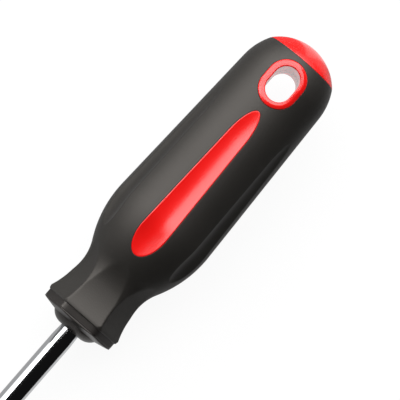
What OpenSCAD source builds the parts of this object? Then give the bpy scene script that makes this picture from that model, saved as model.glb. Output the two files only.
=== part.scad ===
// Cross-point screwdriver with a moulded handle.
// Millimetres. The tool's axis is X: the point is at -X, the butt at +X, and
// the nose of the handle is at X = 0. The front inlay and the hanging slot
// face +Z, so the tool lies on its back inlay.

/* [Handle] */
// Length of the handle, from its nose to the end of its cap
handle_len = 98; // [96:0.5:104]
// Diameter of the handle where it is fullest
belly_d = 30; // [28:0.5:33]
// Distance from the nose to the fullest section
belly_x = 37; // [35:0.5:40]
// Radius of the lengthways curve over the belly
belly_arc_r = 32; // [29:1:36]
// Angle by which each side tapers from the belly to the butt
tail_taper = 2.37; // [1.5:0.1:3]
// Length over which the butt rounds off, up to the end of the cap
shoulder_len = 13; // [11:0.5:15]
// Radius of the lengthways curve of the butt
shoulder_arc_r = 17; // [15:0.5:20]
// Length of the cap, from its seam with the grip to its end
cap_len = 5; // [4:0.25:5.5]

/* [Neck and guard] */
// Distance from the nose to the waist of the neck
neck_x = 15.9; // [15:0.1:17]
// Diameter over the corners at the waist of the neck
neck_d = 19.45; // [18.6:0.1:20.5]
// Radius of the hollow between guard and waist, over the corners
neck_arc_r = 17; // [15:0.5:19]
// Diameter over the corners at the crest of the guard
guard_d = 23.6; // [22.6:0.1:25]
// How much the crest takes off the corners of the guard's hexagon
corner_trim = 0.04; // [0.02:0.01:0.2]
// Radius of the crest of the guard
crest_r = 1.5; // [1:0.1:2]
// Width across the flats at the waist
waist_flats = 17.5; // [17:0.1:18]
// Distance from the nose to the lowest point of the flats
flat_low_x = 12.6; // [12.5:0.1:13.5]
// Radius of the lengthways hollow of the flats
flat_arc_r = 16; // [15:0.5:16]
// Radius that rolls each flat over from guard to hollow
flat_roll_r = 3; // [2:0.5:3]

/* [Nose of the core] */
// Diameter of the round nose
nose_d = 13.8; // [12:0.2:15]
// Length of the round nose
nose_len = 1.9; // [1.4:0.1:2.4]
// Radius of the nose's front edge
nose_edge_r = 0.8; // [0.4:0.1:1.2]
// Distance from the nose to the back of the hexagonal flange
flange_back_x = 5; // [4.4:0.1:5.6]
// Height of the guard's front edge above the flats of the flange
guard_step = 0.35; // [0.2:0.05:0.6]
// Length of the flange's bevelled front
flange_bevel = 0.9; // [0.6:0.1:1.2]
// How much is rounded off the corners of the flange
flange_corner_trim = 0.3; // [0.1:0.05:0.5]

/* [Grip wall] */
// Thickness of the soft grip over the core
grip_wall = 2.4; // [2:0.1:2.8]
// Height of the core's ribs, which key the grip
rib_height = 0.8; // [0.4:0.1:1.2]
// Width of the core's ribs
rib_width = 3; // [2:0.5:4]

/* [Scoops and inlays] */
// Distance from the nose to the round end of each scoop
scoop_start_x = 25.8; // [25:0.1:27]
// Length of the scoop's round end
scoop_head_len = 7.7; // [6:0.1:9]
// Greatest half-width of the scoop, at the end of its head
scoop_head_w = 4.05; // [3:0.05:4.6]
// Half-width of the scoop where its tail begins
scoop_tail_w = 2.95; // [2:0.05:3.5]
// Length of the scoop's tail
scoop_tail_len = 10; // [7:0.5:11]
// Distance between the end of the tail and the flange of the eyelet
scoop_gap = 2.5; // [1.5:0.5:8]
// Width of the flush rim round the dish of an inlay
inlay_rim = 0.3; // [0.2:0.05:0.5]
// Thickness of an inlay, from the handle's surface to its back
inlay_thick = 3.4; // [3:0.1:4]
// Distance from the handle's axis to the centre of an inlay's cross curve
scoop_centre = 24; // [22:0.5:28]
// How far a black scoop is narrower than the outline, at each side
side_scoop_inset = 0.8; // [0.5:0.1:1.5]
// Distance from the handle's axis to the centre of a black scoop's cross curve
side_scoop_centre = 22; // [20:0.5:24]

/* [Hanging eyelet] */
// Distance from the middle of the hanging slot to the end of the cap
eyelet_setback = 13.5; // [13:0.1:14]
// Distance between the centres of the slot's round ends
slot_straight = 3.1; // [2:0.1:3.6]
// Width of the slot
slot_w = 7; // [6:0.1:7.6]
// Wall of the eyelet's tube
eyelet_wall = 1; // [0.8:0.05:1.2]
// Width of the eyelet's flange, across the slot
eyelet_flange_w = 10.9; // [10.4:0.1:11.2]
// Height of the flange above the handle's surface
eyelet_proud = 0.3; // [0.1:0.05:0.6]

/* [Butt cap] */
// Diameter of the cap's two pegs
peg_d = 2.4; // [2:0.1:2.6]
// Length of the pegs
peg_len = 5; // [3:0.5:6]
// Plastic left between each peg and the eyelet
peg_gap = 0.4; // [0.3:0.05:0.6]

/* [Blade] */
// Diameter of the shank
shank_d = 6; // [5:0.1:6.5]
// Length of the blade outside the handle
blade_out = 100; // [60:5:150]
// Diameter of the tang inside the core
tang_d = 5.6; // [4.8:0.1:5.7]
// Plastic left between the end of the tang and the eyelet
tang_cover = 6.5; // [3:0.5:30]
// Chamfer round the end of the tang
tang_chamfer = 0.6; // [0.3:0.1:1]
// Distance from the nose to the wings pressed out of the tang
wing_x = 18; // [12:1:30]
// Length of the wings
wing_len = 12; // [8:1:16]
// Length of each wing's sloping ends
wing_ramp = 2; // [1:0.25:3]
// Distance between the tips of the wings
wing_span = 9.4; // [8:0.2:11]
// Thickness of the wings
wing_thick = 1.8; // [1.2:0.1:2.4]

/* [Cross point] */
// Diameter of the point where its end cone starts
point_d = 2.3; // [2:0.1:2.6]
// Slope of the wings of the point to the axis
point_slope = 13.25; // [12:0.25:15]
// Slope of the end cone to a square end
end_cone_slope = 28; // [20:1:34]
// Diameter of the small flat at the very end
end_flat_d = 0.8; // [0.5:0.1:1.2]
// Distance from the axis to the bottom of a flute, at the end
flute_root = 0.58; // [0.5:0.02:0.7]
// Slope of the bottom of a flute to the axis
flute_slope = 5.75; // [5:0.25:6.5]
// Angle between the two sides of a flute
flute_angle = 92; // [88:1:96]
// Length of a flute up to where it starts to run out
flute_len = 8.5; // [7:0.5:10]
// Radius of the flute's run-out
flute_runout_r = 14; // [10:1:20]

/* [Hidden] */
$fn = 96;
steel = "#c9ccd0";
black_hard = "#262322";
black_soft = "#33312f";
red = "#e5150e";
far = 60;            // reaches past every cut
lap = 1;             // how far a cut or a buried end runs past a face
arc_step = 4.25;     // degrees between the points of a curve
sectors = 6;         // flats and scoops round the handle
pitch = 360 / sectors;

// Places along the handle, measured back from its end
seam_x = handle_len - cap_len;
shoulder_x = handle_len - shoulder_len;
eyelet_x = handle_len - eyelet_setback;
tang_len = eyelet_x - (slot_straight + slot_w) / 2 - eyelet_wall - tang_cover;
peg_y = slot_w / 2 + eyelet_wall + peg_gap + peg_d / 2;

// Lengthways curve of the handle: flare, belly, taper, shoulder
neck_r = neck_d / 2;
belly_r = belly_d / 2;
belly_cy = belly_r - belly_arc_r;
flare_k = neck_r - belly_cy;
flare_r = (pow(belly_x - neck_x, 2) + pow(flare_k, 2) - pow(belly_arc_r, 2))
    / (2 * (belly_r - neck_r));
flare_cy = neck_r + flare_r;
flare_turn = atan2(flare_cy - belly_cy, neck_x - belly_x);
tail_turn = 90 - tail_taper;
belly_end = [belly_x + belly_arc_r * cos(tail_turn), belly_cy + belly_arc_r * sin(tail_turn)];
shoulder_r = belly_end[1] - (shoulder_x - belly_end[0]) * tan(tail_taper);
shoulder_c = [shoulder_x - shoulder_arc_r * cos(tail_turn),
    shoulder_r - shoulder_arc_r * sin(tail_turn)];

// Crest of the guard, and the hollow that leads from it to the waist
guard_r = guard_d / 2;
hollow_cy = neck_r + neck_arc_r;
crest_cy = guard_r - crest_r;
crest_x = neck_x - sqrt(pow(crest_r + neck_arc_r, 2) - pow(hollow_cy - crest_cy, 2));
crest_turn = atan2(hollow_cy - crest_cy, neck_x - crest_x);
crest_front = 100;

// Flats of the neck
flat_guard = (guard_r + corner_trim) * cos(pitch / 2);
flat_low = waist_flats / 2;
flat_cy = flat_low + flat_arc_r;
roll_cy = flat_guard - flat_roll_r;
roll_x = flat_low_x - sqrt(pow(flat_roll_r + flat_arc_r, 2) - pow(flat_cy - roll_cy, 2));
roll_turn = atan2(flat_cy - roll_cy, flat_low_x - roll_x);
flat_end_turn = 320; // where the curve of a flat has left the handle

// Nose, and the hexagonal flange behind it
nose_r = nose_d / 2;
flange_r = (flat_guard - guard_step) / cos(pitch / 2);

// Scoops, with a rib of the core between each two
scoop_end_x = eyelet_x - (slot_straight + eyelet_flange_w) / 2 - scoop_gap;
scoop_len = scoop_end_x - scoop_start_x;
scoop_taper_len = scoop_len - scoop_head_len - scoop_tail_len;
taper_x = scoop_start_x + scoop_head_len;
dish_least_w = 0.9;  // a dish runs out where its half-width is as small as this
dish_end = 3;        // length of the run-out past each end of a dish

// Points of an arc about c, from angle a0 to a1
function arc(c, r, a0, a1) =
    let (n = max(2, ceil(abs(a1 - a0) / arc_step)))
    [for (i = [0:n]) let (a = a0 + (a1 - a0) * i / n) [c[0] + r * cos(a), c[1] + r * sin(a)]];

// Radius of the handle at x, from the waist to the shoulder
function radius_at(x) =
    x < neck_x + flare_r * -cos(flare_turn)
    ? flare_cy - sqrt(pow(flare_r, 2) - pow(x - neck_x, 2))
    : x < belly_end[0]
    ? belly_cy + sqrt(pow(belly_arc_r, 2) - pow(x - belly_x, 2))
    : belly_end[1] - (x - belly_end[0]) * tan(tail_taper);

// Curve of the handle from waist to seam, taken in by t
function tail_curve(t) =
    concat(
        arc([neck_x, flare_cy], flare_r + t, 270, 180 + flare_turn),
        arc([belly_x, belly_cy], belly_arc_r - t, flare_turn, tail_turn),
        arc(shoulder_c, shoulder_arc_r - t, tail_turn,
            acos((seam_x - shoulder_c[0]) / (shoulder_arc_r - t))));

// Half-width of the scoop's outline at a distance u from its round end
function scoop_w(u) =
    u <= 0 || u >= scoop_len ? 0 :
    u < scoop_head_len
    ? scoop_head_w * sqrt(1 - pow(1 - u / scoop_head_len, 2))
    : u < scoop_head_len + scoop_taper_len
    ? scoop_head_w + (scoop_tail_w - scoop_head_w) * (u - scoop_head_len) / scoop_taper_len
    : scoop_tail_w * sqrt(1 - pow((u - scoop_head_len - scoop_taper_len) / scoop_tail_len, 2));

// Stations along the scoop: close together over its rounded ends and the belly
belly_run = belly_end[0] - taper_x;
scoop_stations = concat(
    [for (a = [0:15:90]) scoop_head_len * (1 - cos(a))],
    [for (i = [1:3]) scoop_head_len + belly_run * i / 3],
    [for (i = [1:3]) scoop_head_len + belly_run + (scoop_taper_len - belly_run) * i / 3],
    [for (a = [15:15:90]) scoop_head_len + scoop_taper_len + scoop_tail_len * sin(a)]);

// Radius of a cross curve about a centre that meets the handle at half-width w
function dish_r(x, w, centre) = norm([w, centre - sqrt(pow(radius_at(x), 2) - pow(w, 2))]);

// Solid of revolution about X from points [x, radius]
module lathe(points) {
    rotate([0, 90, 0]) rotate([0, 0, 180])
        rotate_extrude() polygon([for (p = points) [p[1], p[0]]]);
}

// The handle's envelope from the back of the flange to the seam
module envelope() {
    front_r = crest_cy + crest_r * sin(crest_front)
        + (crest_x + crest_r * cos(crest_front) - flange_back_x) / tan(crest_front);
    lathe(concat(
        [[flange_back_x, 0], [flange_back_x, front_r]],
        arc([crest_x, crest_cy], crest_r, crest_front, crest_turn),
        arc([neck_x, hollow_cy], neck_arc_r, 180 + crest_turn, 270),
        tail_curve(0),
        [[seam_x, 0]]));
}

// A bar whose two flats follow the hollow of the neck
module flats_bar() {
    upper = concat(
        [[0, flat_guard]],
        arc([roll_x, roll_cy], flat_roll_r, 90, roll_turn),
        arc([flat_low_x, flat_cy], flat_arc_r, 180 + roll_turn, flat_end_turn),
        [[far / 2, far], [2 * far, far]]);
    lower = [for (i = [len(upper) - 1:-1:0]) [upper[i][0], -upper[i][1]]];
    rotate([90, 0, 0]) linear_extrude(2 * far, center = true) polygon(concat(upper, lower));
}

// The inside of the grip: the core's body and its ribs
module core_body() {
    lathe(concat([[flange_back_x, 0], [flange_back_x, neck_r - grip_wall]],
        tail_curve(grip_wall), [[seam_x, 0]]));
    intersection() {
        lathe(concat([[flange_back_x, 0], [flange_back_x, neck_r - grip_wall + rib_height]],
            tail_curve(grip_wall - rib_height), [[seam_x, 0]]));
        for (i = [0:sectors / 2 - 1])
            rotate([pitch * (i + 0.5), 0, 0])
                translate([taper_x, -rib_width / 2, -far / 2])
                    cube([scoop_taper_len, rib_width, far]);
    }
}

// Prism of the scoop's outline, pointing up from the axis
module scoop_prism() {
    half = [for (u = scoop_stations) [scoop_start_x + u, scoop_w(u)]];
    other = [for (i = [len(half) - 2:-1:1]) [half[i][0], -half[i][1]]];
    linear_extrude(far) polygon(concat(half, other));
}

// The tool that hollows one scoop, over the top of the handle
module scoop_dish(inset, centre) {
    inner = [for (u = scoop_stations) if (scoop_w(u) > inset + dish_least_w)
        [scoop_start_x + u, dish_r(scoop_start_x + u, scoop_w(u) - inset, centre)]];
    first = inner[0];
    last = inner[len(inner) - 1];
    translate([0, 0, centre])
        lathe(concat([[first[0] - dish_end, 0], [first[0] - dish_end, first[1] - dish_end]], inner,
            [[last[0] + dish_end, last[1] - dish_end], [last[0] + dish_end, 0]]));
}

// Prism with the outline of the hanging slot, w wide
module slot_prism(w, from, to) {
    translate([eyelet_x, 0, from]) linear_extrude(to - from) union() {
        square([slot_straight, w], center = true);
        for (s = [-1, 1]) translate([s * slot_straight / 2, 0]) circle(d = w);
    }
}

// Everything of the blade that the core is moulded round
module tang() {
    lathe([[-lap, 0], [-lap, tang_d / 2], [tang_len - tang_chamfer, tang_d / 2],
        [tang_len, tang_d / 2 - tang_chamfer], [tang_len, 0]]);
    linear_extrude(wing_thick, center = true) polygon([
        [wing_x, 0],
        [wing_x + wing_ramp, wing_span / 2],
        [wing_x + wing_len - wing_ramp, wing_span / 2],
        [wing_x + wing_len, 0],
        [wing_x + wing_len - wing_ramp, -wing_span / 2],
        [wing_x + wing_ramp, -wing_span / 2]]);
}

module pegs(d) {
    for (s = [-1, 1])
        translate([seam_x - peg_len, s * peg_y, 0]) rotate([0, 90, 0])
            cylinder(d = d, h = peg_len + lap);
}

// One of the four flutes of the point, on the +Z side
module flute() {
    depth = shank_d;
    spread = depth * tan(flute_angle / 2);
    turn_z = flute_root + flute_len * tan(flute_slope);
    translate([-blade_out, 0, flute_root]) rotate([0, -flute_slope, 0])
        translate([-lap, 0, 0]) rotate([90, 0, 90]) linear_extrude(flute_len + lap)
            polygon([[0, 0], [spread, depth], [-spread, depth]]);
    translate([-blade_out + flute_len, 0, turn_z]) rotate([0, -flute_slope, 0])
        translate([0, 0, flute_runout_r]) rotate([90, 0, 0])
            rotate_extrude() polygon([[0, -spread], [flute_runout_r - depth, -spread],
                [flute_runout_r, 0], [flute_runout_r - depth, spread], [0, spread]]);
}

module blade() {
    end_len = (point_d - end_flat_d) / 2 * tan(end_cone_slope);
    point_len = (shank_d - point_d) / 2 / tan(point_slope);
    color(steel) {
        difference() {
            lathe([[-blade_out, 0], [-blade_out, end_flat_d / 2],
                [-blade_out + end_len, point_d / 2],
                [-blade_out + end_len + point_len, shank_d / 2], [0, shank_d / 2], [0, 0]]);
            for (i = [0:3]) rotate([90 * i + 45, 0, 0]) flute();
        }
        tang();
    }
}

module handle_core() {
    bevel_end_r = flange_r - flange_corner_trim;
    bevel_end_x = nose_len + flange_bevel * (bevel_end_r - nose_r) / (flange_r - nose_r);
    color(black_hard) difference() {
        union() {
            lathe(concat([[0, 0]],
                arc([nose_edge_r, nose_r - nose_edge_r], nose_edge_r, 180, 90),
                [[flange_back_x, nose_r], [flange_back_x, 0]]));
            intersection() {
                lathe([[nose_len, 0], [nose_len, nose_r], [bevel_end_x, bevel_end_r],
                    [flange_back_x, bevel_end_r], [flange_back_x, 0]]);
                rotate([0, 90, 0]) rotate([0, 0, pitch / 2])
                    cylinder(r = flange_r, h = flange_back_x, $fn = sectors);
            }
            core_body();
        }
        tang();
        for (side = [0, 180]) rotate([side, 0, 0]) inlay_blank();
        slot_prism(slot_w + 2 * eyelet_wall, -far, far);
        pegs(peg_d);
    }
}

// The block that an inlay fills, before its dish is hollowed
module inlay_blank() {
    difference() {
        scoop_prism();
        lathe(concat([[flange_back_x, 0], [flange_back_x, neck_r - inlay_thick]],
            tail_curve(inlay_thick), [[seam_x, 0]]));
    }
}

module grip() {
    color(black_soft) difference() {
        intersection() {
            envelope();
            intersection_for (i = [0:sectors / 2 - 1]) rotate([i * pitch, 0, 0]) flats_bar();
        }
        core_body();
        for (i = [0:sectors - 1]) rotate([i * pitch, 0, 0])
            if (i % (sectors / 2) == 0) scoop_prism();
            else scoop_dish(side_scoop_inset, side_scoop_centre);
        slot_prism(eyelet_flange_w, -far, far);
    }
}

module inlay() {
    intersection() {
        envelope();
        difference() {
            inlay_blank();
            scoop_dish(inlay_rim, scoop_centre);
        }
    }
}

module front_inlay() {
    color(red) inlay();
}

module back_inlay() {
    color(red) rotate([180, 0, 0]) inlay();
}

module butt_cap() {
    rise = handle_len - seam_x;
    rim = shoulder_c[1] + sqrt(pow(shoulder_arc_r, 2) - pow(seam_x - shoulder_c[0], 2));
    dome_r = (pow(rise, 2) + pow(rim, 2)) / (2 * rise);
    color(red) {
        lathe(concat([[seam_x, 0]], arc([handle_len - dome_r, 0], dome_r, asin(rim / dome_r), 0)));
        pegs(peg_d);
    }
}

// A bush that lines the slot from the middle of the handle out to its flange
module eyelet_half() {
    difference() {
        intersection() {
            lathe(concat([[flange_back_x, 0]], tail_curve(-eyelet_proud), [[seam_x, 0]]));
            union() {
                slot_prism(slot_w + 2 * eyelet_wall, 0, far);
                difference() {
                    slot_prism(eyelet_flange_w, 0, far);
                    core_body();
                }
            }
        }
        slot_prism(slot_w, -lap, far);
    }
}

module eyelet_front() {
    color(red) eyelet_half();
}

module eyelet_back() {
    color(red) rotate([180, 0, 0]) eyelet_half();
}

blade();
handle_core();
grip();
butt_cap();
eyelet_front();
eyelet_back();
front_inlay();
back_inlay();
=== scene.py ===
# Cross-point screwdriver: the looks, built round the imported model.
# Sizes are in millimetres until a mesh is made. X runs along the tool from the
# point to the butt; an angle is turned about X, from +Z towards +Y.

import math
import bmesh
import bpy
from mathutils import Matrix, Vector


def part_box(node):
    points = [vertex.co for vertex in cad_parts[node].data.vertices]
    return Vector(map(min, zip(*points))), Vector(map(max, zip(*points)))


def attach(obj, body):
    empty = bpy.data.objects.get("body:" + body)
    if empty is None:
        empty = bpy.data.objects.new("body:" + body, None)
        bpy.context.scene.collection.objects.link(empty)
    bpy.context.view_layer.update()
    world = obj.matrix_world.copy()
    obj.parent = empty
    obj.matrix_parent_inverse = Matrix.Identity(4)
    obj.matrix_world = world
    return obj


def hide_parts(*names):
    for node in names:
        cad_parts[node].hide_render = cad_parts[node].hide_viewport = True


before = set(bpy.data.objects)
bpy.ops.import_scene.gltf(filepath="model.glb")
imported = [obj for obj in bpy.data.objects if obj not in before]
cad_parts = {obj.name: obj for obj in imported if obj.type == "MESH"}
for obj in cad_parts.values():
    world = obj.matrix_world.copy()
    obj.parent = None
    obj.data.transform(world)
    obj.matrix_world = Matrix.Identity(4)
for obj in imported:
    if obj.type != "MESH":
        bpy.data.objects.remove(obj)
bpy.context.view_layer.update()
mm = 0.001
joinWithin = 0.0004      # mm: points closer than this are one point
sliverUnder = 0.0002     # mm: edges shorter than this are dissolved
mouldedCrease = 40       # degrees: sharper edges than this stay crisp
groundCrease = 30
print("frame loaded:", ", ".join(sorted(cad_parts)))


def extent(node):  # the node's lowest and highest corner, in mm
    low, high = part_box(node)
    return low / mm, high / mm


bladeLow, bladeHigh = extent("blade")
gripLow, gripHigh = extent("grip")
capHigh = extent("butt_cap")[1]
inlayLow, inlayHigh = extent("front_inlay")
eyeletLow, eyeletHigh = extent("eyelet_front")


def joinPoints(bm):
    bmesh.ops.remove_doubles(bm, verts=bm.verts, dist=joinWithin)


def inMetres(name, bm):
    mesh = bpy.data.meshes.new(name)
    bm.to_mesh(mesh)
    bm.free()
    mesh.transform(Matrix.Scale(mm, 4))
    return mesh


def finishMesh(name, bm, sharpAngle):
    joinPoints(bm)
    bmesh.ops.dissolve_degenerate(bm, edges=bm.edges, dist=sliverUnder)
    bmesh.ops.recalc_face_normals(bm, faces=bm.faces)
    mesh = inMetres(name, bm)
    mesh.shade_smooth()
    mesh.set_sharp_from_angle(angle=math.radians(sharpAngle))
    return mesh


def addGrid(bm, rows, closed=False):  # quads between rows of points; a closed row is a ring
    made = [[bm.verts.new(p) for p in row] for row in rows]
    for low, high in zip(made, made[1:]):
        count = len(low)
        for i in range(count if closed else count - 1):
            j = (i + 1) % count
            bm.faces.new((low[i], low[j], high[j], high[i]))


def spread(start, end, steps):
    return [start + (end - start) * i / steps for i in range(steps + 1)]


def spot(x, angle, radius):
    return Vector((x, radius * math.sin(angle), radius * math.cos(angle)))


def addNode(tree, kind, values=None, links=None, **settings):
    node = tree.nodes.new(kind)
    for name, value in settings.items():
        setattr(node, name, value)
    for socket, value in (values or {}).items():
        node.inputs[socket].default_value = value
    for socket, source in (links or {}).items():
        tree.links.new(source, node.inputs[socket])
    return node


handle = {
    "bellyWide": 30.0,      # fullest section
    "bellyAt": 37.0,
    "bellyCurve": 32.0,
    "tailTaper": 2.37,      # degrees
    "shoulderLong": 13.0,
    "shoulderCurve": 17.0,
    "neckWide": 19.45,
    "neckAt": 15.9,
    "neckHollow": 17.0,
    "guardWide": 23.6,      # over the corners
    "cornerTrim": 0.04,
    "crestCurve": 1.5,
    "crestFront": 100.0,    # degrees
    "waistFlats": 17.5,
    "flatLowAt": 14.3,
    "flatFall": 25.3,       # hollow of a flat before its lowest point, and past it
    "flatRise": 13.5,
    "flatRoll": 3.0,
    "flatEnd": 320.0,       # degrees
    "wall": 2.4,
    "sectors": 6,
    "ridgeBlend": 0.45,     # softness of the ridge between two flats
    "flatBlend": 0.06,      # softness where a flat leaves the round neck
    "scoopHead": 7.7,
    "scoopTail": 10.0,
    "scoopTailWide": 2.95,
}

frontX = gripLow.x
seamX = gripHigh.x
endX = capHigh.x
scoopStart, scoopEnd = inlayLow.x, inlayHigh.x
scoopHalf = inlayHigh.y
headX = scoopStart + handle["scoopHead"]
tailX = scoopEnd - handle["scoopTail"]
halfSector = math.pi / handle["sectors"]


def crown(cx, cy, r):
    return lambda x: cy + math.sqrt(max(r * r - (x - cx) ** 2, 0))


def hollow(cx, cy, r):
    return lambda x: cy - math.sqrt(max(r * r - (x - cx) ** 2, 0))


def straight(x0, r0, slope):
    return lambda x: r0 + (x - x0) * slope


def along(*parts):  # each part is (the x where it ends, its curve)
    def radius(x):
        return next((curve for end, curve in parts if x <= end), parts[-1][1])(x)
    return radius


def lengthwaysCurve():
    h = handle
    neckR, bellyR = h["neckWide"] / 2, h["bellyWide"] / 2
    bellyY = bellyR - h["bellyCurve"]
    gap = neckR - bellyY
    reach = h["bellyAt"] - h["neckAt"]
    flare = (reach ** 2 + gap ** 2 - h["bellyCurve"] ** 2) / (2 * (bellyR - neckR))
    flareY = neckR + flare
    flareTurn = math.atan2(flareY - bellyY, -reach)
    taper = math.radians(h["tailTaper"])
    bellyEnd = h["bellyAt"] + h["bellyCurve"] * math.sin(taper)
    bellyEndR = bellyY + h["bellyCurve"] * math.cos(taper)
    shoulderX = endX - h["shoulderLong"]
    shoulderR = bellyEndR - (shoulderX - bellyEnd) * math.tan(taper)
    shoulderC = (shoulderX - h["shoulderCurve"] * math.sin(taper),
                 shoulderR - h["shoulderCurve"] * math.cos(taper))
    hollowY = neckR + h["neckHollow"]
    crestY = h["guardWide"] / 2 - h["crestCurve"]
    crestX = h["neckAt"] - math.sqrt((h["crestCurve"] + h["neckHollow"]) ** 2
                                     - (hollowY - crestY) ** 2)
    crestTurn = math.atan2(hollowY - crestY, h["neckAt"] - crestX)
    front = math.radians(h["crestFront"])
    crestStart = crestX + h["crestCurve"] * math.cos(front)
    crestStartR = crestY + h["crestCurve"] * math.sin(front)
    return along(
        (crestStart, straight(crestStart, crestStartR, -1 / math.tan(front))),
        (crestX + h["crestCurve"] * math.cos(crestTurn), crown(crestX, crestY, h["crestCurve"])),
        (h["neckAt"], hollow(h["neckAt"], hollowY, h["neckHollow"])),
        (h["neckAt"] - flare * math.cos(flareTurn), hollow(h["neckAt"], flareY, flare)),
        (bellyEnd, crown(h["bellyAt"], bellyY, h["bellyCurve"])),
        (shoulderX, straight(bellyEnd, bellyEndR, -math.tan(taper))),
        (endX, crown(*shoulderC, h["shoulderCurve"])))


def flatsCurve():
    h = handle
    guard = (h["guardWide"] / 2 + h["cornerTrim"]) * math.cos(halfSector)
    low, fall, rise = h["waistFlats"] / 2, h["flatFall"], h["flatRise"]
    rollY = guard - h["flatRoll"]
    rollX = h["flatLowAt"] - math.sqrt((h["flatRoll"] + fall) ** 2 - (low + fall - rollY) ** 2)
    rollTurn = math.atan2(low + fall - rollY, h["flatLowAt"] - rollX)
    leave = h["flatLowAt"] + rise * math.cos(math.radians(h["flatEnd"]))
    return along(
        (rollX, lambda x: guard),
        (rollX + h["flatRoll"] * math.cos(rollTurn), crown(rollX, rollY, h["flatRoll"])),
        (h["flatLowAt"], hollow(h["flatLowAt"], low + fall, fall)),
        (leave, hollow(h["flatLowAt"], low + rise, rise)),
        (endX, lambda x: h["bellyWide"]))


roundRadius = lengthwaysCurve()
flatRadius = flatsCurve()


def innerRadius(x):  # the inside of the grip: straight up to the neck, then under the skin
    outside = roundRadius(x) if x > handle["neckAt"] else handle["neckWide"] / 2
    return outside - handle["wall"]


def blendLow(a, b, width):  # the lesser of two, with the crease between them rounded
    near = max(width - abs(a - b), 0) / width
    return min(a, b) - near * near * width / 4


def teardrop(x, inset):  # square of the scoop's half-width; it goes below 0 past the ends
    head, tail = handle["scoopHead"] - inset, handle["scoopTail"] - inset
    wide, narrow = scoopHalf - inset, handle["scoopTailWide"] - inset
    if x < headX:
        return wide ** 2 * (1 - ((headX - x) / head) ** 2)
    if x < tailX:
        return (wide + (narrow - wide) * (x - headX) / (tailX - headX)) ** 2
    return narrow ** 2 * (1 - ((x - tailX) / tail) ** 2)


def dishDepth(x, y, inset, hollow, softness):  # hollow: curvature against the handle, per mm
    depth = (teardrop(x, inset) - y * y) * hollow / 2
    if depth > softness:
        return depth
    return max(depth + softness, 0) ** 2 / (4 * softness)


def hexagonRadius(flat, angle):  # one side and half of the next, with a soft ridge between
    return blendLow(flat / math.cos(angle), flat / math.cos(2 * halfSector - angle),
                    handle["ridgeBlend"])


def skinRadius(x, angle):  # the grip without its scoops
    hexagon = hexagonRadius(flatRadius(x), abs(angle))
    return blendLow(hexagon, roundRadius(x), handle["flatBlend"])


def scoopedRadius(x, angle):
    r = skinRadius(x, angle)
    return r - dishDepth(x, r * math.sin(angle),
                         grip["scoopInset"], grip["scoopHollow"], grip["scoopSoft"])


outline = {
    "columns": [0, 3.5, 7, 10.5, 14, 17.2, 19.8, 22, 23.8, 25.3, 26.7, 28, 29, 30],  # degrees
    "headSteps": 22,
    "taperSteps": 44,
    "tailSteps": 22,
    "scoopFrom": 22.0,     # the scoop's patch of each sector
    "scoopTo": 76.25,
    "slotTo": 92.3,        # the slot's patch of each sector
    "slotSteps": 20,
    "slotSides": 4,
}
columns = [math.radians(c) for c in outline["columns"]]
corner = len(columns) - 1
slotMiddle = (eyeletLow.x + eyeletHigh.x) / 2
flangeHalf = eyeletHigh.y
slotStraight = (eyeletHigh.x - eyeletLow.x) / 2 - flangeHalf


def mirrored(half):  # a half outline from pole to pole, made a whole ring
    return half + [(x, -side) for x, side in half[-2:0:-1]]


def scoopOutline(inset):
    half = []
    for i in range(outline["headSteps"]):
        turn = math.pi / 2 * i / outline["headSteps"]
        half.append((headX - (handle["scoopHead"] - inset) * math.cos(turn),
                     (scoopHalf - inset) * math.sin(turn)))
    for x in spread(headX, tailX, outline["taperSteps"]):
        half.append((x, math.sqrt(teardrop(x, inset))))
    for i in range(1, outline["tailSteps"] + 1):
        turn = math.pi / 2 * i / outline["tailSteps"]
        half.append((tailX + (handle["scoopTail"] - inset) * math.sin(turn),
                     (handle["scoopTailWide"] - inset) * math.cos(turn)))
    return half


def slotOutline(radius):  # a slot with round ends, from one end to the other
    half = []
    for i in range(outline["slotSteps"]):
        turn = math.pi / 2 * i / outline["slotSteps"]
        half.append((slotMiddle - slotStraight - radius * math.cos(turn), radius * math.sin(turn)))
    for x in spread(slotMiddle - slotStraight, slotMiddle + slotStraight, outline["slotSides"]):
        half.append((x, radius))
    for i in range(1, outline["slotSteps"] + 1):
        turn = math.pi / 2 * i / outline["slotSteps"]
        half.append((slotMiddle + slotStraight + radius * math.sin(turn), radius * math.cos(turn)))
    return half


def asAngles(half):  # widths in mm become angles round the handle
    return [(x, math.asin(y / roundRadius(x))) for x, y in half]


def patchEdge(fromX, toX, count):  # the half edge of a sector's patch, matched to an outline
    sides = spread(fromX, toX, count - 2 * corner)
    return ([(fromX, c) for c in columns] + [(x, halfSector) for x in sides[1:-1]]
            + [(toX, c) for c in reversed(columns)])


def between(inner, outer, share):
    return [(a[0] + (b[0] - a[0]) * share, a[1] + (b[1] - a[1]) * share)
            for a, b in zip(inner, outer)]


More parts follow.
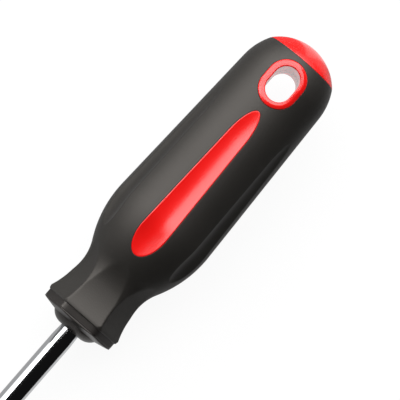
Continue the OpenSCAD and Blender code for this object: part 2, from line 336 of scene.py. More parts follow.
def turnedCopies():
    tree = bpy.data.node_groups.new("turnedCopies", "GeometryNodeTree")
    sockets = [("Geometry", "NodeSocketGeometry", None), ("Other piece", "NodeSocketObject", None),
               ("Copies", "NodeSocketInt", 6), ("Other every", "NodeSocketInt", 1000),
               ("First turn", "NodeSocketFloat", 0.0), ("Step", "NodeSocketFloat", 1.0),
               ("Finish", "NodeSocketMaterial", None)]
    for name, kind, value in sockets:
        socket = tree.interface.new_socket(name=name, in_out="INPUT", socket_type=kind)
        if value is not None:
            socket.default_value = value
    tree.interface.new_socket(name="Geometry", in_out="OUTPUT", socket_type="NodeSocketGeometry")
    given = addNode(tree, "NodeGroupInput")
    points = addNode(tree, "GeometryNodeMeshLine", links={"Count": given.outputs["Copies"]},
                     values={"Offset": (0, 0, 0)})
    index = addNode(tree, "GeometryNodeInputIndex")
    angle = addNode(tree, "ShaderNodeMath", operation="MULTIPLY_ADD",
                    links={0: index.outputs[0], 1: given.outputs["Step"], 2: given.outputs["First turn"]})
    turn = addNode(tree, "ShaderNodeCombineXYZ", links={"X": angle.outputs[0]})
    number = addNode(tree, "ShaderNodeMath", operation="ADD", links={0: index.outputs[0]}, values={1: 1.0})
    place = addNode(tree, "ShaderNodeMath", operation="MODULO",
                    links={0: number.outputs[0], 1: given.outputs["Other every"]})
    isOther = addNode(tree, "FunctionNodeCompare", operation="LESS_THAN",
                      links={"A": place.outputs[0]}, values={"B": 0.5})
    isOwn = addNode(tree, "FunctionNodeBooleanMath", operation="NOT", links={0: isOther.outputs[0]})
    other = addNode(tree, "GeometryNodeObjectInfo", links={"Object": given.outputs["Other piece"]})
    joined = addNode(tree, "GeometryNodeJoinGeometry")
    for chosen, shape in ((isOwn, given.outputs["Geometry"]), (isOther, other.outputs["Geometry"])):
        copies = addNode(tree, "GeometryNodeInstanceOnPoints",
                         links={"Points": points.outputs[0], "Selection": chosen.outputs[0],
                                "Instance": shape, "Rotation": turn.outputs[0]})
        tree.links.new(copies.outputs[0], joined.inputs[0])
    real = addNode(tree, "GeometryNodeRealizeInstances", links={0: joined.outputs[0]})
    finish = addNode(tree, "GeometryNodeSetMaterial",
                     links={"Geometry": real.outputs[0], "Material": given.outputs["Finish"]})
    addNode(tree, "NodeGroupOutput", links={0: finish.outputs[0]})
    return tree


def aroundTheTool(name, mesh, material, inputs, sharpAngle):
    base = bpy.data.objects.new(name + "Base", mesh)
    bpy.context.scene.collection.objects.link(base)
    modifier = base.modifiers.new("copies", "NODES")
    modifier.node_group = copiesTree
    names = {item.name: item.identifier for item in copiesTree.interface.items_tree
             if item.in_out == "INPUT"}
    modifier[names["Finish"]] = material
    for key, value in inputs.items():
        modifier[names[key]] = value
    evaluated = base.evaluated_get(bpy.context.evaluated_depsgraph_get())
    made = bpy.data.meshes.new_from_object(evaluated)
    bpy.data.objects.remove(base)
    bm = bmesh.new()
    bm.from_mesh(made)
    bm.transform(Matrix.Scale(1 / mm, 4))
    whole = finishMesh(name, bm, sharpAngle)
    whole.materials.append(material)
    return whole


def addPiece(name, mesh, node):
    piece = bpy.data.objects.new(name, mesh)
    bpy.context.scene.collection.objects.link(piece)
    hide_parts(node)
    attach(piece, "root")
    loose = sum(1 for count in edgeUse(mesh).values() if count != 2)
    print(f"{name}: {len(mesh.polygons)} faces, {loose} open edges")
    return piece


def edgeUse(mesh):
    use = {}
    for face in mesh.polygons:
        for key in face.edge_keys:
            use[key] = use.get(key, 0) + 1
    return use


def hexColour(text):  # sRGB hex to the linear colour that the shader takes
    parts = [int(text[i:i + 2], 16) / 255 for i in (0, 2, 4)]
    return (*[p / 12.92 if p <= 0.04045 else ((p + 0.055) / 1.055) ** 2.4 for p in parts], 1.0)


def newMaterial(name, shader):
    material = bpy.data.materials.new(name)
    material.use_nodes = True
    tree = material.node_tree
    tree.nodes.clear()
    surface = addNode(tree, "ShaderNodeBsdfPrincipled", values=shader)
    addNode(tree, "ShaderNodeOutputMaterial", links={"Surface": surface.outputs[0]})
    where = addNode(tree, "ShaderNodeTexCoord").outputs["Object"]
    return material, tree, surface, where


def mixColours(tree, amount, low, high):
    ramp = addNode(tree, "ShaderNodeValToRGB", links={"Fac": amount})
    ramp.color_ramp.elements[0].color = hexColour(low)
    ramp.color_ramp.elements[1].color = hexColour(high)
    return ramp.outputs["Color"]


def remap(tree, value, low, high):
    return addNode(tree, "ShaderNodeMapRange", links={"Value": value},
                   values={"To Min": low, "To Max": high}).outputs["Result"]


softGrip = {"dark": "151412", "light": "1c1a18", "grain": 0.35, "cloud": 9.0, "relief": 0.045,
            "rough": (0.50, 0.58)}
warmShine = (1.0, 0.94, 0.88, 1.0)   # black moulded plastics give back a slightly brown shine


def softGripFinish():
    # Thermoplastic rubber from a spark-eroded mould: a dull, velvety black with a fine
    # even grain that spreads every highlight. The grain is drawn at 0.35 mm, coarser
    # than the real 0.05 mm, so that it shows.
    s = softGrip
    material, tree, surface, where = newMaterial("softGripRubber", {
        "IOR": 1.58, "Specular Tint": warmShine, "Sheen Weight": 0.06, "Sheen Roughness": 0.45})
    cloud = addNode(tree, "ShaderNodeTexNoise", links={"Vector": where},
                    values={"Scale": 1 / (s["cloud"] * mm), "Detail": 3.0})
    grain = addNode(tree, "ShaderNodeTexNoise", links={"Vector": where},
                    values={"Scale": 1 / (s["grain"] * mm), "Detail": 2.0})
    bump = addNode(tree, "ShaderNodeBump", links={"Height": grain.outputs[0]},
                   values={"Strength": 0.5, "Distance": s["relief"] * mm})
    tree.links.new(mixColours(tree, cloud.outputs[0], s["dark"], s["light"]), surface.inputs["Base Color"])
    tree.links.new(remap(tree, grain.outputs[0], *s["rough"]), surface.inputs["Roughness"])
    tree.links.new(bump.outputs[0], surface.inputs["Normal"])
    return material


hardCore = {"dark": "211f1e", "light": "272423", "cloud": 6.0, "rough": (0.30, 0.38)}


def hardCoreFinish():
    # Injection-moulded polypropylene from a polished mould: hard, nearly black, with a
    # tight soft-edged shine and very faint flow marks.
    material, tree, surface, where = newMaterial("hardCorePolypropylene", {
        "IOR": 1.49, "Specular Tint": warmShine})
    cloud = addNode(tree, "ShaderNodeTexNoise", links={"Vector": where},
                    values={"Scale": 1 / (hardCore["cloud"] * mm), "Detail": 4.0})
    tree.links.new(mixColours(tree, cloud.outputs[0], hardCore["dark"], hardCore["light"]),
                   surface.inputs["Base Color"])
    tree.links.new(remap(tree, cloud.outputs[0], *hardCore["rough"]), surface.inputs["Roughness"])
    return material


redInsert = {"dark": "d40b08", "light": "e6110d", "cloud": 12.0, "wave": 1.4, "relief": 0.006,
             "rough": (0.20, 0.28)}


def redInsertFinish():
    # Pigmented polypropylene from a satin mould: a saturated red with a broad bright
    # sheen, a little light scattered inside, and a skin that is never quite flat.
    s = redInsert
    material, tree, surface, where = newMaterial("redPolypropylene", {
        "IOR": 1.66, "Subsurface Weight": 0.06, "Subsurface Radius": (0.0012, 0.0003, 0.0002)})
    cloud = addNode(tree, "ShaderNodeTexNoise", links={"Vector": where},
                    values={"Scale": 1 / (s["cloud"] * mm), "Detail": 3.0})
    wave = addNode(tree, "ShaderNodeTexNoise", links={"Vector": where},
                   values={"Scale": 1 / (s["wave"] * mm), "Detail": 1.0})
    bump = addNode(tree, "ShaderNodeBump", links={"Height": wave.outputs[0]},
                   values={"Strength": 0.4, "Distance": s["relief"] * mm})
    tree.links.new(mixColours(tree, cloud.outputs[0], s["dark"], s["light"]), surface.inputs["Base Color"])
    tree.links.new(remap(tree, cloud.outputs[0], *s["rough"]), surface.inputs["Roughness"])
    tree.links.new(bump.outputs[0], surface.inputs["Normal"])
    return material


chromedSteel = {"colour": "d3d4d6", "turnLine": 0.12, "along": 60.0, "relief": 0.0012,
                "rough": (0.04, 0.09)}


def chromedSteelFinish():
    # Bright chrome on centreless-ground bar: mirror-like, with the grinding left as fine
    # hoops round the bar. They are drawn 0.12 mm apart, coarser than the real ones.
    s = chromedSteel
    material, tree, surface, where = newMaterial("brightChrome", {
        "Base Color": hexColour(s["colour"]), "Metallic": 1.0})
    stretched = addNode(tree, "ShaderNodeMapping", links={"Vector": where},
                        values={"Scale": (1 / (s["turnLine"] * mm), s["along"], s["along"])})
    hoops = addNode(tree, "ShaderNodeTexNoise", links={"Vector": stretched.outputs[0]},
                    values={"Scale": 1.0, "Detail": 3.0})
    bump = addNode(tree, "ShaderNodeBump", links={"Height": hoops.outputs[0]},
                   values={"Strength": 0.15, "Distance": s["relief"] * mm})
    tree.links.new(remap(tree, hoops.outputs[0], *s["rough"]), surface.inputs["Roughness"])
    tree.links.new(bump.outputs[0], surface.inputs["Normal"])
    return material


gripMaterial = softGripFinish()
coreMaterial = hardCoreFinish()
redMaterial = redInsertFinish()
bladeMaterial = chromedSteelFinish()
copiesTree = turnedCopies()
print("finishes made")


grip = {
    "scoopInset": 0.8,     # how far a scoop's edge lies inside the outline
    "scoopHollow": 0.199,
    "scoopSoft": 0.09,     # softness of a scoop's edge
    "scoopRings": [0, 0.2, 0.4, 0.54, 0.63, 0.7, 0.76, 0.81, 0.86, 0.92, 1.0, 1.12, 1.3, 1.55, 1.95],
    "windowRings": [-0.6, -0.35, -0.2, -0.12, -0.08, -0.05, -0.02, 0],
    "slotRings": [0, 0.02, 0.05, 0.08, 0.12, 0.2, 0.35, 0.6],
    "lerps": [0.07, 0.15, 0.25, 0.37, 0.5, 0.63, 0.76, 0.88, 1.0],
    "leafColumns": 20,
    "edgeRound": 0.12,     # the grip's edge round a window
    "frontRound": 0.35,    # the guard's front edge
    "frontRows": 9,
    "neckRows": 64,
    "seamRound": 0.16,     # the grip's and the cap's edges at the seam
    "seamRows": 6,
    "shoulderRows": 2,
    "wallRows": 12,
    "slotGap": 0.03,
}


def rounding(distance, radius):  # how far an edge of this radius falls back near the edge
    short = max(radius - distance, 0)
    return radius - math.sqrt(radius * radius - short * short)


def roundedSteps(radius, steps):  # distances from an edge, close together at the edge
    return [radius * (1 - math.cos(math.pi / 2 * i / steps)) for i in range(steps + 1)]


def sectorColumns():
    return [-c for c in columns[:0:-1]] + columns


def endRows():
    front = [(frontX + d, rounding(d, grip["frontRound"]))
             for d in roundedSteps(grip["frontRound"], grip["frontRows"])]
    neck = [(x, 0) for x in spread(front[-1][0], outline["scoopFrom"], grip["neckRows"])[1:]]
    back = [(seamX - d, rounding(d, grip["seamRound"]))
            for d in reversed(roundedSteps(grip["seamRound"], grip["seamRows"]))]
    shoulder = [(x, 0) for x in spread(outline["slotTo"], back[0][0], grip["shoulderRows"])[:-1]]
    return front + neck, shoulder + back


def addSkin(bm, rows, radius, closed=False):  # rows of (x, angle), lifted to a surface
    addGrid(bm, [[spot(x, a, radius(x, a)) for x, a in row] for row in rows], closed)


def addRounded(bm, rows):  # rows of (x, drop) across a sector, and its inner wall
    across = sectorColumns()
    addGrid(bm, [[spot(x, a, skinRadius(x, a) - drop) for a in across] for x, drop in rows])
    ends = (rows[0][0], rows[-1][0])
    addGrid(bm, [[spot(x, a, innerRadius(x)) for a in across] for x in spread(*ends, grip["wallRows"])])


def addEndWall(bm, x, drop):
    across = sectorColumns()
    addGrid(bm, [[spot(x, a, skinRadius(x, a) - drop) for a in across],
                 [spot(x, a, innerRadius(x)) for a in across]])


def leaf(half, count):  # rows across a half outline and its mirror image
    return [[(x, side * f) for f in spread(-1, 1, count)] for x, side in half]


def sectorMesh(hasInsert):
    bm = bmesh.new()
    front, back = endRows()
    addRounded(bm, front)
    addRounded(bm, back)
    addEndWall(bm, *front[0])
    addEndWall(bm, *back[-1])
    inner = lambda x, a: innerRadius(x)
    edge = patchEdge(outline["scoopFrom"], outline["scoopTo"], len(scoopOutline(0)) - 1)
    rings = grip["windowRings"] if hasInsert else grip["scoopRings"]
    outermost = asAngles(scoopOutline(rings[0]))
    beyond = [mirrored(between(outermost, edge, share)) for share in reversed(grip["lerps"])]
    loops = beyond + [mirrored(asAngles(scoopOutline(inset))) for inset in rings]
    if hasInsert:
        addSkin(bm, beyond + loops[len(beyond):len(beyond) + 1], skinRadius, True)
        addDropped(bm, [(loop, rounding(-i, grip["edgeRound"]))
                        for loop, i in zip(loops[len(beyond):], rings)])
        hole = loops[-1]
        addWall(bm, hole, grip["edgeRound"])
        addSkin(bm, [hole, beyond[0]], inner, True)
    else:
        addSkin(bm, loops, scoopedRadius, True)
        addSkin(bm, leaf(asAngles(scoopOutline(rings[-1])), grip["leafColumns"]), scoopedRadius)
        addPlainPatch(bm, edge, inner)
    slotEdge = patchEdge(outline["scoopTo"], outline["slotTo"], len(slotOutline(1)) - 1)
    if hasInsert:
        hole = flangeHalf + grip["slotGap"]
        loops = [mirrored(asAngles(slotOutline(hole + d))) for d in grip["slotRings"]]
        addDropped(bm, [(loop, rounding(d, grip["edgeRound"]))
                        for loop, d in zip(loops, grip["slotRings"])])
        outermost = asAngles(slotOutline(hole + grip["slotRings"][-1]))
        beyond = [mirrored(between(outermost, slotEdge, share)) for share in [0] + grip["lerps"]]
        addSkin(bm, beyond, skinRadius, True)
        addWall(bm, loops[0], grip["edgeRound"])
        addSkin(bm, [loops[0], beyond[-1]], inner, True)
    else:
        addPlainPatch(bm, slotEdge, skinRadius)
        addPlainPatch(bm, slotEdge, inner)
    joinPoints(bm)
    return inMetres("sector", bm)


def addDropped(bm, loops):  # rings that fall back by a drop of their own
    addGrid(bm, [[spot(x, a, skinRadius(x, a) - drop) for x, a in loop] for loop, drop in loops], True)


def addWall(bm, loop, drop):  # the wall of a hole, from its rounded edge to the inner skin
    addGrid(bm, [[spot(x, a, skinRadius(x, a) - drop) for x, a in loop],
                 [spot(x, a, innerRadius(x)) for x, a in loop]], True)


def addPlainPatch(bm, edge, radius):  # a patch of a sector with nothing cut in it
    sides = [x for x, a in edge[corner:len(edge) - corner]]
    addSkin(bm, [[(x, a) for a in sectorColumns()] for x in sides], radius)


plainSector, insertSector = sectorMesh(False), sectorMesh(True)
insertObject = bpy.data.objects.new("insertSector", insertSector)
bpy.context.scene.collection.objects.link(insertObject)
gripMesh = aroundTheTool("grip", plainSector, gripMaterial, {
    "Copies": handle["sectors"], "Other piece": insertObject, "Other every": handle["sectors"] // 2,
    "First turn": -4 * halfSector, "Step": 2 * halfSector}, mouldedCrease)
bpy.data.objects.remove(insertObject)
addPiece("softGrip", gripMesh, "grip")


core = {
    "noseWide": 13.8,
    "noseLong": 1.9,
    "noseDome": 0.5,       # how far the nose's front bulges
    "guardStep": 0.35,     # how far the flange lies under the guard
    "cornerTrim": 0.3,     # how much is rounded off the flange's corners
    "bevelLong": 0.9,
    "lipRound": 0.22,
    "grooveAt": 3.15,
    "grooveWide": 0.16,
    "grooveDeep": 0.10,
    "shankGap": 0.04,
    "mouthBevel": 0.25,
    "sleeveEnd": 76.0,
    "gripGap": 0.04,
    "noseRows": 16,
    "flangeRows": 62,
    "sleeveRows": 30,
}
shankR = 3.0


def flangeRadius(x, angle):
    flat = flatRadius(frontX) - core["guardStep"]
    hexagon = hexagonRadius(flat, abs(angle))
    overCorners = flat / math.cos(halfSector) - core["cornerTrim"]
    hexagon = blendLow(hexagon, overCorners, handle["ridgeBlend"])
    slope = (overCorners - core["noseWide"] / 2) / core["bevelLong"]
    cone = core["noseWide"] / 2 + (x - core["noseLong"]) * slope
    dip = math.exp(-((x - core["grooveAt"]) / (core["grooveWide"] / 2)) ** 2) * core["grooveDeep"]
    return blendLow(cone, hexagon, core["lipRound"] * 4) - dip


def coreSector():
    bm = bmesh.new()
    c = core
    across = sectorColumns()
    bore = shankR + c["shankGap"]
    tangEnd = bladeHigh.x + c["shankGap"]
    rows = [[spot(tangEnd, a, 0) for a in across], [spot(tangEnd, a, bore) for a in across],
            [spot(c["mouthBevel"], a, bore) for a in across],
            [spot(0, a, bore + c["mouthBevel"]) for a in across]]
    noseR = c["noseWide"] / 2
    mouthR = bore + c["mouthBevel"]
    slant = Vector((c["noseLong"], noseR - mouthR))
    bulge = Vector((-slant.y, slant.x)).normalized() * 4 * c["noseDome"]   # full height half-way
    for share in spread(0, 1, c["noseRows"])[1:]:
        x, r = Vector((0, mouthR)) + slant * share + bulge * share * (1 - share)
        rows.append([spot(x, a, r) for a in across])
    for x in spread(c["noseLong"], frontX, c["flangeRows"]):
        rows.append([spot(x, a, max(flangeRadius(x, a), noseR)) for a in across])
    for x in [frontX, *spread(frontX + 1, c["sleeveEnd"], c["sleeveRows"])]:
        rows.append([spot(x, a, innerRadius(x) - c["gripGap"]) for a in across])
    rows.append([spot(c["sleeveEnd"], a, 0) for a in across])
    addGrid(bm, rows)
    joinPoints(bm)
    return inMetres("coreSector", bm)


coreMesh = aroundTheTool("core", coreSector(), coreMaterial, {
    "Copies": handle["sectors"], "Step": 2 * halfSector}, mouldedCrease)
addPiece("coreNose", coreMesh, "handle_core")


insert = {
    "rings": [0.02, 0.035, 0.06, 0.1, 0.15, 0.2, 0.24, 0.27,
              0.295, 0.32, 0.36, 0.42, 0.5, 0.62, 0.8, 1.05],
    "edgeRound": 0.12,
    "lip": 0.02,           # how far the insert stands under the grip's skin
    "rim": 0.3,            # width of the flush rim round the dish
    "hollow": 0.168,
    "soft": 0.056,
    "thick": 3.4,
    "leafColumns": 22,
    "backColumns": 8,
}


def insertRadius(x, angle, drop=0):
    r = roundRadius(x) - insert["lip"] - drop
    return r - dishDepth(x, r * math.sin(angle), insert["rim"], insert["hollow"], insert["soft"])


def insertMesh():
    bm = bmesh.new()
    s = insert
    loops = [mirrored(asAngles(scoopOutline(inset))) for inset in s["rings"]]
    drops = [rounding(inset - s["rings"][0], s["edgeRound"]) for inset in s["rings"]]
    addGrid(bm, [[spot(x, a, insertRadius(x, a, drop)) for x, a in loop]
                 for loop, drop in zip(loops, drops)], True)
    addSkin(bm, leaf(asAngles(scoopOutline(s["rings"][-1])), s["leafColumns"]), insertRadius)
    back = lambda x, a: roundRadius(x) - s["thick"]
    rim = loops[0]
    addGrid(bm, [[spot(x, a, insertRadius(x, a, drops[0])) for x, a in rim],
                 [spot(x, a, back(x, a)) for x, a in rim]], True)
    addSkin(bm, leaf(asAngles(scoopOutline(s["rings"][0])), s["backColumns"]), back)
    joinPoints(bm)
    return inMetres("insert", bm)


sharedInsert = insertMesh()
for name, node, turn in (("frontInsert", "front_inlay", 0), ("backInsert", "back_inlay", math.pi)):
    mesh = aroundTheTool(name, sharedInsert, redMaterial, {"Copies": 1, "First turn": turn}, mouldedCrease)
    addPiece(name, mesh, node)


bush = {
    "mouthHalf": 3.58,     # half-width of the slot at its mouth, and at its narrowest
    "throatHalf": 3.45,
    "tubeHalf": 4.5,
    "proud": 0.3,
    "crown": 0.10,         # the flange is a little higher along its middle
    "outerRound": 0.35,
    "innerRound": 0.45,
    "meetBevel": 0.12,     # bevel where the two bushes meet
    "meetGap": 0.015,
    "bedGap": 0.05,
    "outerRows": 8,
    "crownRows": 8,
    "innerRows": 10,
    "throatRows": 12,
}


def slotRing(radius, height):
    return [Vector((x, y, height(x, y))) for x, y in mirrored(slotOutline(radius))]


def bushMesh():
    bm = bmesh.new()
    s = bush
    top = lambda x, y: math.sqrt((roundRadius(x) + s["proud"]) ** 2 - y * y)
    bed = lambda x, y: math.sqrt((innerRadius(x) + s["bedGap"]) ** 2 - y * y)
    level = lambda z: (lambda x, y: z)
    below = lambda drop: (lambda x, y: top(x, y) - drop)
    rings = [slotRing(s["tubeHalf"], bed), slotRing(flangeHalf, bed)]
    for i in range(s["outerRows"] + 1):
        turn = math.pi / 2 * i / s["outerRows"]
        rings.append(slotRing(flangeHalf - s["outerRound"] * (1 - math.cos(turn)),
                              below(s["outerRound"] * (1 - math.sin(turn)))))
    lip = s["mouthHalf"] + s["innerRound"]
    for share in spread(0, 1, s["crownRows"])[1:]:
        rise = s["crown"] * math.sin(math.pi * share)
        radius = flangeHalf - s["outerRound"] + (lip - flangeHalf + s["outerRound"]) * share
        rings.append(slotRing(radius, below(-rise)))
    for i in range(1, s["innerRows"] + 1):
        turn = math.pi / 2 * i / s["innerRows"]
        rings.append(slotRing(lip - s["innerRound"] * math.sin(turn),
                              below(s["innerRound"] * (1 - math.cos(turn)))))
    mouth = rings[-1]
    throat = slotRing(s["throatHalf"], level(s["meetBevel"]))
    for share in spread(0, 1, s["throatRows"])[1:]:
        rings.append([a.lerp(b, share) for a, b in zip(mouth, throat)])
    rings.append(slotRing(s["throatHalf"] + s["meetBevel"], level(s["meetGap"])))
    rings.append(slotRing(s["tubeHalf"], level(s["meetGap"])))
    addGrid(bm, rings + rings[:1], True)
    joinPoints(bm)
    return inMetres("bush", bm)


sharedBush = bushMesh()
for name, node, turn in (("frontBush", "eyelet_front", 0), ("backBush", "eyelet_back", math.pi)):
    mesh = aroundTheTool(name, sharedBush, redMaterial, {"Copies": 1, "First turn": turn}, mouldedCrease)
    addPiece(name, mesh, node)


cap = {"sides": 144, "domeRows": 36, "seamRound": 0.16, "seamRows": 6}


def capMesh():
    bm = bmesh.new()
    rise, rim = endX - seamX, roundRadius(seamX)
    domeR = (rise ** 2 + rim ** 2) / (2 * rise)
    dome = crown(endX - domeR, 0, domeR)
    profile = [(seamX, 0), (seamX, rim / 2)]
    for d in roundedSteps(cap["seamRound"], cap["seamRows"]):
        profile.append((seamX + d, dome(seamX + d) - rounding(d, cap["seamRound"])))
    start = math.acos((profile[-1][0] - endX + domeR) / domeR)
    for turn in spread(start, 0, cap["domeRows"])[1:]:
        profile.append((endX - domeR + domeR * math.cos(turn), domeR * math.sin(turn)))
    ring = [2 * math.pi * i / cap["sides"] for i in range(cap["sides"])]
    addGrid(bm, [[spot(x, a, r) for a in ring] for x, r in profile], True)
    mesh = finishMesh("cap", bm, mouldedCrease)
    mesh.materials.append(redMaterial)
    return mesh


addPiece("buttCap", capMesh(), "butt_cap")


blade = {
    "endFlat": 0.4,        # radii
    "pointR": 1.15,
    "tangR": 2.8,
    "endSlope": 28.0,      # degrees
    "pointSlope": 13.25,
    "fluteRoot": 0.58,
    "fluteSlope": 5.75,
    "fluteHalfAngle": 46.0,
    "fluteLong": 8.5,
    "runOut": 14.0,
    "flutes": 4,
    "leastTurn": 0.12,     # the columns of a flute stay this wide past its end
    "tangStart": 0.2,
    "tangChamfer": 0.6,
    "fluteColumns": 7,
    "landColumns": 9,
    "endRows": 6,
    "pointRows": 40,
    "runOutRows": 36,
    "shankRows": 24,
    "leastCut": 0.01,      # keeps a flute's side from running off to infinity
    "closed": 0.0001,      # radius of the last row
}


def bladeForm():
    s = blade
    tip = bladeLow.x
    endLong = (s["pointR"] - s["endFlat"]) * math.tan(math.radians(s["endSlope"]))
    pointEnd = tip + endLong + (shankR - s["pointR"]) / math.tan(math.radians(s["pointSlope"]))
    slope = math.radians(s["fluteSlope"])
    turnX = tip + s["fluteLong"]
    turnZ = s["fluteRoot"] + s["fluteLong"] * math.tan(slope)
    shape = along(
        (tip + endLong, straight(tip, s["endFlat"], 1 / math.tan(math.radians(s["endSlope"])))),
        (pointEnd, straight(tip + endLong, s["pointR"], math.tan(math.radians(s["pointSlope"])))),
        (s["tangStart"], lambda x: shankR),
        (bladeHigh.x, lambda x: s["tangR"]))
    root = along(
        (turnX, straight(tip, s["fluteRoot"], math.tan(slope))),
        (turnX + s["runOut"] / 2, hollow(turnX - s["runOut"] * math.sin(slope),
                                         turnZ + s["runOut"] * math.cos(slope), s["runOut"])),
        (bladeHigh.x, lambda x: 2 * shankR))
    return shape, root, endLong, pointEnd


def bladeQuarter():
    s = blade
    bm = bmesh.new()
    form, root, endLong, pointEnd = bladeForm()
    slant = 1 / math.tan(math.radians(s["fluteHalfAngle"]))
    size, lean = math.hypot(1, slant), math.atan(slant)
    quarter = math.pi / s["flutes"]

    def row(x, r):
        ratio = min(root(x) / (r * size), 1)
        edge = max(math.acos(ratio) - lean, s["leastTurn"])
        half = spread(0, edge, s["fluteColumns"]) + spread(edge, quarter, s["landColumns"])[1:]
        points = []
        for a in [-h for h in half[:0:-1]] + half:
            cut = root(x) / max(math.cos(a) - slant * abs(math.sin(a)), s["leastCut"])
            points.append(spot(x, a, min(r, cut)))
        return points

    tip = bladeLow.x
    middle = [Vector((tip, 0, 0))] * (2 * (s["fluteColumns"] + s["landColumns"]) + 1)
    flutesEnd = tip + s["fluteLong"] + s["runOut"] / 2
    stations = (spread(tip, tip + endLong, s["endRows"])
                + spread(tip + endLong, pointEnd, s["pointRows"])[1:]
                + spread(pointEnd, flutesEnd, s["runOutRows"])[1:]
                + spread(flutesEnd, s["tangStart"], s["shankRows"])[1:])
    rows = [middle] + [row(x, form(x)) for x in stations]
    end = bladeHigh.x
    for x, r in ((s["tangStart"], s["tangR"]), (end - s["tangChamfer"], s["tangR"]),
                 (end, s["tangR"] - s["tangChamfer"]), (end, s["closed"])):
        rows.append(row(x, r))
    addGrid(bm, rows)
    joinPoints(bm)
    return inMetres("bladeQuarter", bm)


bladeMesh = aroundTheTool("chromedBlade", bladeQuarter(), bladeMaterial, {
    "Copies": blade["flutes"], "First turn": math.pi / blade["flutes"],
    "Step": 2 * math.pi / blade["flutes"]}, groundCrease)
addPiece("chromedBlade", bladeMesh, "blade")
print("pieces made")


studio = {
    "bellyTouch": (34.1, -14.31),   # where the tool touches the floor: x, z
    "floorGap": 0.02,
    "floorWide": 8000.0,
    "floorTone": 0.9,
    "whiteShare": 0.93,      # how much of the seen floor is plain white, the rest keeps the shadow
    "fill": 0.14,
    "aim": (45.0, 0.0, 0.0),
    "softboxFrom": (0.75, 0.65, 1.0),
    "softboxAway": 900.0,
    "softboxSize": (1900.0, 1250.0),
    "softboxPower": 28.0,
}
cards = {
    "away": 1500.0,          # radius of the vault of cards over the tool and its lamp
    "halfLong": 4000.0,
    "flag": ((-420.0, 20.0), (-300.0, 195.0), 300.0),   # black card over the blade: x, y and z
    "stripLong": 300.0,      # the white strip that lights the blade
    "stripDrop": 20.0,
    "vaultSteps": 24,
    "aboveFloor": 0.2,
    "strip": ((1.7, 33.0, 83.0),),
    # tone, start and end: over the tool in degrees from straight above, on the floor in y
    "bladeVault": ((0.008, -92.0, 83.0), (0.5, 83.0, 92.0)),
    "bladeFloor": ((0.008, -4000.0, -38.0), (0.7, -38.0, 0.0), (0.5, 0.0, 4000.0)),
    "handleVault": ((0.008, -92.0, 80.0), (0.25, 80.0, 92.0)),
    "handleFloor": ((0.008, -4000.0, -38.0), (0.4, -38.0, -8.0), (0.18, 8.0, 4000.0)),
}
view = {
    "from": (3.0, -13.4, 893.0),
    "to": (48.3, -3.36, 0.0),
    "toolTurn": 49.03,       # how far the tool points up from the picture's right, in degrees
    "fieldOfView": 6.73,
    "clip": (0.01, 20.0),    # metres
}


def cameraTurn():
    back = (Vector(view["from"]) - Vector(view["to"])).normalized()
    tool = (Vector((1, 0, 0)) - back * back.x).normalized()
    side = back.cross(tool)
    turn = math.radians(view["toolTurn"])
    right = tool * math.cos(turn) - side * math.sin(turn)
    up = tool * math.sin(turn) + side * math.cos(turn)
    return Matrix((right, up, back)).transposed()


def addCamera():
    data = bpy.data.cameras.new("camera")
    data.angle = math.radians(view["fieldOfView"])
    data.clip_start, data.clip_end = view["clip"]
    camera = bpy.data.objects.new("camera", data)
    camera.matrix_world = Matrix.Translation(Vector(view["from"]) * mm) @ cameraTurn().to_4x4()
    bpy.context.scene.collection.objects.link(camera)
    bpy.context.scene.camera = camera


def seenDirectly(tree):  # 1 for what the eye, a shine or clear plastic sees
    path = addNode(tree, "ShaderNodeLightPath").outputs
    first = addNode(tree, "ShaderNodeMath", operation="MAXIMUM",
                    links={0: path["Is Camera Ray"], 1: path["Is Glossy Ray"]})
    return addNode(tree, "ShaderNodeMath", operation="MAXIMUM",
                   links={0: first.outputs[0], 1: path["Is Transmission Ray"]}).outputs[0]


def floorHeight(x):
    pointEnd = bladeForm()[3]
    bellyX, bellyZ = studio["bellyTouch"]
    return -shankR + (x - pointEnd) * (bellyZ + shankR) / (bellyX - pointEnd) - studio["floorGap"]


def addStage(name, rows, material):
    bm = bmesh.new()
    addGrid(bm, [[Vector(p) for p in row] for row in rows])
    mesh = finishMesh(name, bm, 180)
    mesh.materials.append(material)
    stage = bpy.data.objects.new(name, mesh)
    bpy.context.scene.collection.objects.link(stage)
    return stage


def addFloor():
    material = bpy.data.materials.new("whiteFloor")
    material.use_nodes = True
    tree = material.node_tree
    tree.nodes.clear()
    tone = studio["floorTone"]
    matt = addNode(tree, "ShaderNodeBsdfDiffuse", values={"Color": (tone, tone, tone, 1)})
    white = addNode(tree, "ShaderNodeEmission", values={"Color": (1, 1, 1, 1), "Strength": 1.0})
    share = addNode(tree, "ShaderNodeMath", operation="MULTIPLY", links={0: seenDirectly(tree)},
                    values={1: studio["whiteShare"]})
    mixed = addNode(tree, "ShaderNodeMixShader",
                    links={0: share.outputs[0], 1: matt.outputs[0], 2: white.outputs[0]})
    addNode(tree, "ShaderNodeOutputMaterial", links={"Surface": mixed.outputs[0]})
    half = studio["floorWide"] / 2
    addStage("floor", [[(x, y, floorHeight(x)) for y in (-half, half)] for x in (-half, half)], material)


def addCard(name, tone, rows):  # only a shine sees a card; it throws no shadow and adds no light
    material = bpy.data.materials.new(name)
    material.use_nodes = True
    tree = material.node_tree
    tree.nodes.clear()
    glow = addNode(tree, "ShaderNodeEmission", values={"Color": (tone, tone, tone, 1), "Strength": 1.0})
    addNode(tree, "ShaderNodeOutputMaterial", links={"Surface": glow.outputs[0]})
    card = addStage(name, rows, material)
    card.visible_camera = card.visible_diffuse = card.visible_transmission = False
    card.visible_shadow = card.visible_volume_scatter = False


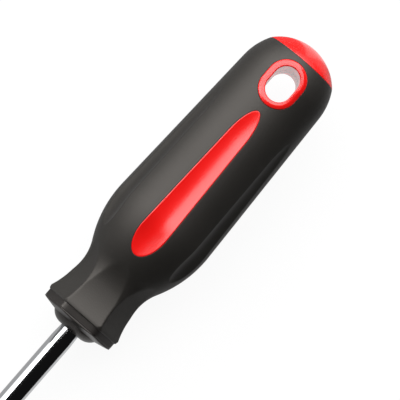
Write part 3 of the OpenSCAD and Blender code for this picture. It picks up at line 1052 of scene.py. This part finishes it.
def addVault(name, parts, ends, radius):
    for tone, start, end in parts:
        turns = [math.radians(a) for a in spread(start, end, cards["vaultSteps"])]
        addCard(name, tone, [[spot(x, a, radius) for a in turns] for x in ends])


def addCards():
    far, height = cards["halfLong"], cards["away"]
    for part, ends in (("blade", (-far, 0)), ("handle", (0, far))):
        addVault(part + "Vault", cards[part + "Vault"], ends, height)
        for tone, start, end in cards[part + "Floor"]:
            rows = [[(x, y, floorHeight(x) + cards["aboveFloor"]) for y in (start, end)] for x in ends]
            addCard(part + "FloorCard", tone, rows)
    addVault("bladeStrip", cards["strip"], (-cards["stripLong"], 0), height - cards["stripDrop"])
    alongBlade, across, height = cards["flag"]
    addCard("bladeFlag", cards["bladeVault"][0][0], [[(x, y, height) for y in across] for x in alongBlade])


def addSoftbox():
    data = bpy.data.lights.new("softbox", "AREA")
    data.shape = "RECTANGLE"
    data.size, data.size_y = (s * mm for s in studio["softboxSize"])
    data.energy = studio["softboxPower"]
    lamp = bpy.data.objects.new("softbox", data)
    towards = Vector(studio["softboxFrom"]).normalized()
    imageUp = cameraTurn().col[1]
    across = imageUp.cross(towards).normalized()
    turn = Matrix((across, towards.cross(across), towards)).transposed()
    place = (Vector(studio["aim"]) + towards * studio["softboxAway"]) * mm
    lamp.matrix_world = Matrix.Translation(place) @ turn.to_4x4()
    lamp.visible_camera = False
    bpy.context.scene.collection.objects.link(lamp)


def setWorld():
    world = bpy.data.worlds.new("room")
    world.use_nodes = True
    tree = world.node_tree
    tree.nodes.clear()
    strength = addNode(tree, "ShaderNodeMapRange", links={"Value": seenDirectly(tree)},
                       values={"To Min": studio["fill"], "To Max": 1.0})
    sky = addNode(tree, "ShaderNodeBackground", links={"Strength": strength.outputs[0]},
                  values={"Color": (1, 1, 1, 1)})
    addNode(tree, "ShaderNodeOutputWorld", links={"Surface": sky.outputs[0]})
    bpy.context.scene.world = world


addCamera()
addFloor()
addCards()
addSoftbox()
setWorld()
bpy.context.scene.view_settings.view_transform = "Standard"
print("stage set")
